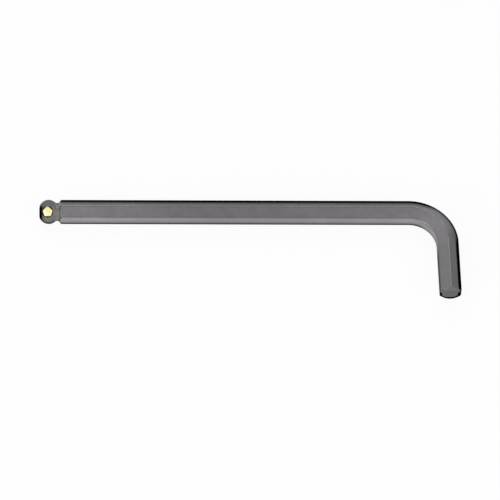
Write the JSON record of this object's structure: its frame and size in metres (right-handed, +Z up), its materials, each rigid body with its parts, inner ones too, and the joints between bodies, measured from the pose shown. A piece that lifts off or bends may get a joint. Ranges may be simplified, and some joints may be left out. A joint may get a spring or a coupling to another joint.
{
  "type": "hex key",
  "caption": "L-shaped hex key with a ball end on its long arm, a bevelled short end and a small brass screw-retaining insert in the ball.",
  "frame": {"origin": "middle of the key's box, on the surface that it lies on", "axes": "+X along the long arm from the ball end to the bend, -Y along the short arm from the bend to its end face, +Z up"},
  "size_m": [0.198, 0.05, 0.0115],
  "materials": {
    "coated_steel": "satin dark grey conversion coating",
    "brass_insert": "bright, lightly polished"
  },
  "bodies": {
    "root": {"key_body": "coated_steel", "retaining_insert": "brass_insert"}
  },
  "joints": []
}
